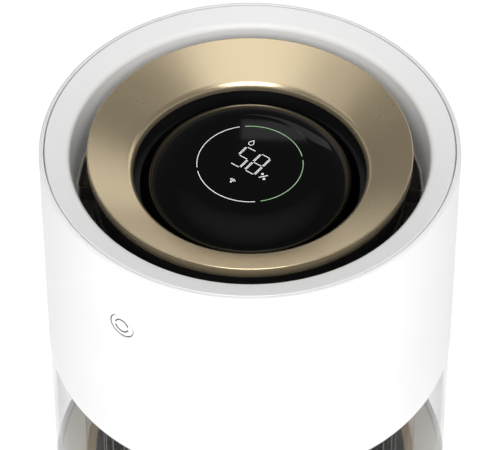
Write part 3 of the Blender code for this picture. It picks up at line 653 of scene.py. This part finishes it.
# ---- button --------------------------------------------------------------------------------
def build_button():
    """Crowned cap with two printed arcs, and the dark seal in the groove round it."""
    face = -CAP_LOW[1]
    back = -CAP_HIGH[1]
    edge = 0.0005                   # rounding of the cap
    crown = 0.0001                  # how much higher the cap's middle stands than its edge
    stem = 0.0025                   # radius of the stem behind the cap
    reach = 0.002                   # length of that stem
    profile = [(0.0, face)]
    profile += arc(BUTTON_R - edge, face - edge - crown, edge, 85, 0, 5)
    profile += [(BUTTON_R, back + reach), (stem, back + reach), (stem, back), (0.0, back)]
    cap = lathe("button_face", profile, WHITE, False, ROUND)
    lay_along_y(cap, BUTTON_Z, -1)
    settle(cap, "button", "white_plastic", "button_cap")

    seal_in = BUTTON_R + 0.0001
    seal_out = BUTTON_R + BUTTON_GAP
    seal_front = face - 0.0003
    seal_back = face - 0.0026
    profile = [(seal_out, seal_front), (seal_out, seal_back), (seal_in, seal_back), (seal_in, seal_front)]
    seal = lay_along_y(lathe("button_seal", profile, BLACK, True, ROUND), BUTTON_Z, -1)
    settle(seal, "head", "black_plastic")

    arc_r = 0.0048                  # radius of the printed arcs
    half_deg = 74                   # half the angle that one of them covers
    ink = 0.00042                   # half the width of their line
    sunk = 0.00012                  # how far inside the cap's face its middle lies
    for label, middle in (("upper", 90), ("lower", 270)):
        curve = bpy.data.curves.new(f"button_arc_{label}", "CURVE")
        curve.dimensions = "3D"
        curve.bevel_depth = ink
        curve.bevel_resolution = 2
        curve.use_fill_caps = True
        points = circle_points((0.0, BUTTON_Z), arc_r, middle - half_deg, middle + half_deg, 24)
        spline = curve.splines.new("POLY")
        spline.points.add(len(points) - 1)
        for point, (x, z) in zip(spline.points, points):
            point.co = (x, CAP_LOW[1] + sunk, z, 1.0)
        line = bpy.data.objects.new(f"button_arc_{label}", curve)
        curve.materials.append(LINE)
        bpy.context.scene.collection.objects.link(line)
        settle(line, "button", "black_plastic")


# ---- tank, filter and base -----------------------------------------------------------------
def build_tank():
    """Clear cup with rounded rim and floor corner."""
    outer = TANK_HIGH[0]
    inner = outer - 0.0026
    low, high = TANK_LOW[2], TANK_HIGH[2]
    floor = low + 0.003             # top of the cup's floor
    step = BASE_HIGH[2] + 0.0003    # where the wall ends, just over the base
    foot = 0.1265                   # radius of the part that goes down into the base
    corner = 0.004                  # rounding where the wall meets the floor
    edge = 0.0006                   # chamfers of the rim
    toe = 0.0005                    # chamfer where the wall ends
    rim_depth = 0.0008              # faces this near the top take the rim's material
    profile = [(0.0, floor)]
    profile += arc(inner - corner, floor + corner, corner, -90, 0, 6)
    profile += [(inner, high - edge), (inner + edge, high), (outer - edge, high), (outer, high - edge)]
    profile += [(outer, step + toe), (outer - toe, step), (foot, step), (foot, low), (0.0, low)]
    cup = lathe("clear_tank", profile, CLEAR, False)
    cup.data.materials.append(CLEAR_EDGE)
    for face in cup.data.polygons:
        if face.center.z > high - rim_depth:
            face.material_index = 1
    settle(cup, "tank", "clear_plastic", "tank_shell")


def build_foot(number):
    """One rubber foot: a rounded pad with a shallow hollow."""
    low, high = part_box(f"foot_{number}")
    centre = ((low[0] + high[0]) / 2, (low[1] + high[1]) / 2, 0.0)
    radius = (high[0] - low[0]) / 2
    edge = 0.001                    # rounding of the pad
    hollow = low[2] + 0.0006        # height of the hollow
    profile = [(0.0, high[2]), (radius, high[2])]
    profile += arc(radius - edge, low[2] + edge, edge, 0, -90, 5)
    profile += [(radius * 0.6, low[2]), (radius * 0.55, hollow), (0.0, hollow)]
    foot = lathe(f"rubber_foot_{number}", profile, RUBBER, False, MEDIUM, centre)
    settle(foot, "tank", "rubber", f"foot_{number}")


def build_base():
    """White base ring, its cream deck under the tank's floor, and the four feet."""
    outer = BASE_HIGH[0]
    low, high = BASE_LOW[2], BASE_HIGH[2]
    deck = high - 0.0039            # height of the cream deck
    inner = outer - 0.0032          # inside of the rim round it
    rim = 0.0008                    # rounding of that rim
    sole = 0.0045                   # rounding of the lower edge
    profile = [(0.0, deck), (inner, deck), (inner, high - EASE), (inner + EASE, high)]
    profile += arc(outer - rim, high - rim, rim, 90, 0, 4)
    profile += arc(outer - sole, low + sole, sole, 0, -75, 8)
    profile += [(outer - 0.0033, low), (outer - WALL - EASE, low)]
    profile += [(outer - WALL, deck - WALL), (0.0, deck - WALL)]
    body = lathe("base", profile, WHITE, False)
    body.data.materials.append(CREAM)
    for face in body.data.polygons:
        if abs(face.center.z - deck) < 0.0001 and face.normal.z > 0.9:
            face.material_index = 1
    settle(body, "tank", "white_plastic", "base_shell")
    for i in range(1, 5):
        build_foot(i)


def build_filter_foot():
    """End cap under the wick: black in the middle, with a brown flange that the guard stands on."""
    low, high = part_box("filter_base")
    outer = high[0]
    edge = 0.0006                   # rounding of the flange
    inner = 0.1035                  # radius of the black middle
    groove = 0.0003                 # a fine V between the two colours
    profile = [(0.0, high[2]), (inner - groove, high[2]), (inner, high[2] - groove)]
    profile += [(inner + groove, high[2])]
    profile += arc(outer - edge, high[2] - edge, edge, 90, 0, 4)
    profile += arc(outer - edge, low[2] + edge, edge, 0, -90, 4)
    profile += [(0.0, low[2])]
    foot = lathe("filter_foot", profile, BLACK, False)
    foot.data.materials.append(BROWN)
    for face in foot.data.polygons:
        if math.hypot(face.center.x, face.center.y) > inner:
            face.material_index = 1
    settle(foot, "filter", "black_plastic", "filter_base")


def build_guard():
    """Tinted cylinder with a row of windows near its foot."""
    outer = GUARD_HIGH[0]
    low, high = GUARD_LOW[2], GUARD_HIGH[2]
    skin = 0.002                    # thickness of the cylinder
    edge = 0.0005                   # rounding of the upper edge
    bars = 6                        # each bar of cutter makes two windows, on opposite sides
    half_w = 0.012                  # half the width of a window
    window_low = 0.062              # lower edge of the windows
    window_high = 0.110             # their upper edge
    profile = arc(outer - edge, high - edge, edge, 90, 0, 3)
    profile += [(outer, low), (outer - skin, low), (outer - skin, high)]
    guard = lathe("tinted_guard", profile, TINTED)
    for i in range(bars):
        shape = bmesh.new()
        reach = outer + 0.01
        turn = math.radians(15 + 180 / bars * i)
        block(shape, (-reach, -half_w, window_low), (reach, half_w, window_high), turn)
        cut(guard, object_from(shape, "guard_window"))
    finish_mesh(guard, TINTED)
    settle(guard, "filter", "tinted_plastic", "filter_guard")


PLEATS = 60                         # folds round the wick
RIBS = 36                           # pale ribs round it


def build_media():
    """Pleated wick: a folded sheet with rounded crests, and the pale ribs that hold it."""
    low, high = MEDIA_LOW[2], MEDIA_HIGH[2]
    crest = MEDIA_HIGH[0]
    depth = 0.012                   # depth of a pleat
    sheet = 0.002                   # thickness of the sheet
    per_pleat = 8                   # points in each pleat
    count = PLEATS * per_pleat
    shape = bmesh.new()
    rings = []
    for z in (low, high):
        for inset in (0.0, sheet):
            ring = []
            for i in range(count):
                phase = 2 * math.pi * i / per_pleat
                wave = (1 - math.cos(phase)) / 2
                radius = crest - inset - depth * wave
                angle = 2 * math.pi * i / count
                ring.append(shape.verts.new((radius * math.cos(angle), radius * math.sin(angle), z)))
            rings.append(ring)
    low_out, low_in, high_out, high_in = rings
    for i in range(count):
        j = (i + 1) % count
        shape.faces.new((low_out[i], low_out[j], high_out[j], high_out[i]))
        shape.faces.new((low_in[j], low_in[i], high_in[i], high_in[j]))
        shape.faces.new((high_out[i], high_out[j], high_in[j], high_in[i]))
        shape.faces.new((low_out[j], low_out[i], low_in[i], low_in[j]))
    media = object_from(shape, "pleated_wick", MEDIA)
    settle(media, "filter", "filter_media", "filter_media")

    rib_r = 0.00024                 # radius of a rib
    place_r = crest + 0.0002        # radius of the circle that the ribs stand on
    profile = [(0.0, high), (rib_r, high), (rib_r, low), (0.0, low)]
    for i in range(RIBS):
        angle = 2 * math.pi * i / RIBS
        centre = (place_r * math.cos(angle), place_r * math.sin(angle), 0.0)
        rib = lathe(f"filter_rib_{i + 1}", profile, PALE_RIB, False, 8, centre)
        settle(rib, "filter", "filter_media")


def build_float():
    """Float and the rod that guides it."""
    low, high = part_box("float")
    centre = ((low[0] + high[0]) / 2, (low[1] + high[1]) / 2, 0.0)
    radius = (high[0] - low[0]) / 2
    bore = 0.0023                   # radius of the float's bore
    edge = 0.002                    # rounding of the float
    profile = arc(radius - edge, high[2] - edge, edge, 90, 0, 6)
    profile += arc(radius - edge, low[2] + edge, edge, 0, -90, 6)
    profile += [(bore, low[2]), (bore, high[2])]
    piece = lathe("float_body", profile, WHITE, True, MEDIUM, centre)
    settle(piece, "float", "white_plastic", "float")

    low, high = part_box("float_guide")
    rod = 0.0018                    # radius of the rod
    knob = 0.0035                   # radius of the stop on top
    knob_low = high[2] - 0.003      # underside of that stop
    foot = 0.006                    # radius of the flange it stands on
    profile = [(0.0, high[2]), (0.0025, high[2] - EASE), (knob, high[2] - 0.0014), (knob, knob_low)]
    profile += [(rod, knob_low), (rod, low[2] + 0.0025), (foot, low[2] + 0.0015)]
    profile += [(foot, low[2]), (0.0, low[2])]
    guide = lathe("float_rod", profile, WHITE, False, MEDIUM, centre)
    settle(guide, "tank", "white_plastic", "float_guide")


# ---- CAD nodes that keep their shape and get a finished material -----------------------------
KEPT = {
    "bottom_plate": WHITE,
    "base_plate": GREY,
    "fan_housing": DUCT_SHADED,
    "outlet_vanes": VANE_SHADED,
    "impeller": BLACK,
    "inlet_guard": BLACK,
    "button_housing": BLACK,
    "button_switch": GREY,
    "filter_core": BLACK,
    "filter_top": BLACK,
    "filter_seal": FOAM,
    "display_board": BOARD,
    "main_board": BOARD,
    "humidity_sensor": BOARD,
    "light_guide": DIFFUSER,
    "motor": STEEL,
    "motor_bearing": STEEL,
    "motor_shaft": STEEL,
    "shaft_nut": STEEL,
}
for group in ("base_screw", "bottom_screw", "motor_screw"):
    for index in (1, 2, 3):
        KEPT[f"{group}_{index}"] = STEEL


def dress_kept_nodes():
    """Assigns materials to the CAD nodes that stay."""
    for name, material in KEPT.items():
        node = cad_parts[name]
        for slot in node.material_slots:
            slot.material = material


# ---- floor, light and camera ---------------------------------------------------------------
FLOOR_GLOW = 0.55                   # lifts the floor to the white of the studio's horizon
FLOOR_HALF = 30.0                   # half the floor's side
WORLD_ZENITH = 0.25                 # brightness straight up; it is 1 at the horizon
WORLD_STOPS = ((0.08, 1.0), (0.20, 0.30), (0.35, 0.10), (0.75, 0.09))   # height, brightness


def build_stage():
    """Pale floor and a world that is bright at the horizon and dim above."""
    shape = bmesh.new()
    bmesh.ops.create_grid(shape, x_segments=8, y_segments=8, size=FLOOR_HALF)
    floor = object_from(shape, "floor")
    material, tree, shader = new_material("pale_floor", 0.7)
    colour = ramp(tree, noise(tree, 2.0, 2.0), (0.93, 0.93, 0.93), (0.95, 0.95, 0.95))
    tree.links.new(colour, shader.inputs["Base Color"])
    shader.inputs["Emission Color"].default_value = (1.0, 1.0, 1.0, 1.0)
    shader.inputs["Emission Strength"].default_value = FLOOR_GLOW
    material.cycles.emission_sampling = "NONE"
    finish_mesh(floor, material)

    world = bpy.data.worlds.new("studio")
    bpy.context.scene.world = world
    world.use_nodes = True
    tree = world.node_tree
    background = tree.nodes["Background"]
    place = tree.nodes.new("ShaderNodeTexCoord")
    split = tree.nodes.new("ShaderNodeSeparateXYZ")
    tree.links.new(place.outputs["Generated"], split.inputs["Vector"])
    height = tree.nodes.new("ShaderNodeValToRGB")
    stops = height.color_ramp
    stops.elements[0].position = 0.0
    stops.elements[0].color = (1.0, 1.0, 1.0, 1.0)
    stops.elements[1].position = 1.0
    stops.elements[1].color = (WORLD_ZENITH, WORLD_ZENITH, WORLD_ZENITH, 1.0)
    for position, level in WORLD_STOPS:
        stop = stops.elements.new(position)
        stop.color = (level, level, level, 1.0)
    tree.links.new(split.outputs["Z"], height.inputs["Fac"])
    tree.links.new(height.outputs["Color"], background.inputs["Color"])
    background.inputs["Strength"].default_value = 1.0


LAYERS_SEEN_THROUGH = 24            # faces of clear moulding that one line of sight may cross
CAMERA_AZIMUTH = math.radians(36.7)      # to the right of the object's front
CAMERA_ELEVATION = math.radians(45.0)    # height over the middle of the drum's rim, as an angle
CAMERA_PITCH = math.radians(46.30)       # how far the line of sight dips
CAMERA_DISTANCE = 16.729 * R             # from the middle of the drum's rim
CAMERA_LENS = 254.74                # focal length in millimetres
LAMP_AIM = Vector((0.0, 0.0, 0.3))  # the point that every lamp faces
TOWARDS_CAMERA = Vector((math.sin(CAMERA_AZIMUTH), -math.cos(CAMERA_AZIMUTH), 0.0))
CAMERA_RIGHT = Vector((math.cos(CAMERA_AZIMUTH), math.sin(CAMERA_AZIMUTH), 0.0))


def soft_lamp(name, right, forward, up, size, power, roll_deg=0.0):
    """A rectangular soft lamp placed by its distance right of, in front of and above the object."""
    light = bpy.data.lights.new(name, "AREA")
    light.shape = "RECTANGLE"
    light.size, light.size_y = size
    light.energy = power
    lamp = bpy.data.objects.new(name, light)
    lamp.location = CAMERA_RIGHT * right + TOWARDS_CAMERA * forward + Vector((0.0, 0.0, up))
    aim = LAMP_AIM - lamp.location
    turn = aim.to_track_quat("-Z", "Y").to_matrix() @ Matrix.Rotation(math.radians(roll_deg), 3, "Z")
    lamp.rotation_euler = turn.to_euler()
    lamp.visible_camera = False
    bpy.context.scene.collection.objects.link(lamp)
    return lamp


def keep_off(lamp, pieces):
    """Keeps a lamp's light off some pieces, as a black flag does in a studio."""
    flagged = bpy.data.collections.get("flagged_pieces") or bpy.data.collections.new("flagged_pieces")
    for piece in pieces:
        if piece.name not in flagged.objects:
            flagged.objects.link(piece)
    for entry in flagged.collection_objects:
        entry.light_linking.link_state = "EXCLUDE"
    lamp.light_linking.receiver_collection = flagged


def build_lamps():
    """A broad lamp on the camera's side, two overhead, reflection cards and two lamps for the display."""
    puck = [bpy.data.objects["display_puck"]]
    front = soft_lamp("front_lamp", 0.0, 2.3, 2.4, size=(1.95, 1.95), power=61.5)
    overhead = soft_lamp("overhead_lamp", 0.0, 0.30, 2.6, size=(1.45, 2.0), power=8.4)
    top_fill = soft_lamp("top_fill_lamp", 0.0, 0.30, 2.8, size=(2.3, 2.3), power=14.5)
    top_fill.visible_glossy = False
    cards = [
        soft_lamp("right_card", 1.7, -2.1, 1.2, size=(2.0, 1.6), power=6.3),
        soft_lamp("left_high_card", -1.5, 0.0, 2.3, size=(1.6, 1.6), power=3.4),
        soft_lamp("back_card", 0.0, -1.3, 2.6, size=(0.8, 0.9), power=2.2),
    ]
    for card in cards:
        card.visible_diffuse = False
    for lamp in [front, overhead] + cards:
        keep_off(lamp, puck)
    soft_lamp("display_lamp", 0.06, -2.17, 2.36, size=(0.16, 0.06), power=0.0135)
    soft_lamp("display_side_lamp", 0.65, -2.43, 1.93, size=(1.45, 0.30), power=0.55, roll_deg=42.0)


def build_camera():
    """Camera at the fitted place, looking along a plane that holds the drum's axis."""
    data = bpy.data.cameras.new("camera")
    data.lens = CAMERA_LENS
    data.sensor_width = 36.0
    data.sensor_fit = "HORIZONTAL"
    data.clip_end = 100.0
    camera = bpy.data.objects.new("camera", data)
    across = TOWARDS_CAMERA * math.cos(CAMERA_ELEVATION)
    offset = across + Vector((0.0, 0.0, math.sin(CAMERA_ELEVATION)))
    camera.location = Vector((0.0, 0.0, TOP)) + offset * CAMERA_DISTANCE
    view = -TOWARDS_CAMERA * math.cos(CAMERA_PITCH) - Vector((0.0, 0.0, math.sin(CAMERA_PITCH)))
    camera.rotation_euler = view.to_track_quat("-Z", "Y").to_euler()
    bpy.context.scene.collection.objects.link(camera)
    bpy.context.scene.camera = camera


bpy.context.scene.view_settings.view_transform = "Standard"
bpy.context.scene.cycles.transparent_max_bounces = LAYERS_SEEN_THROUGH
build_camera()
build_stage()
build_drum()
build_grille()
build_socket()
build_top_ring()
build_gold_ring()
build_display()
build_pod()
build_button()
build_tank()
build_base()
build_filter_foot()
build_guard()
build_media()
build_float()
dress_kept_nodes()
build_lamps()
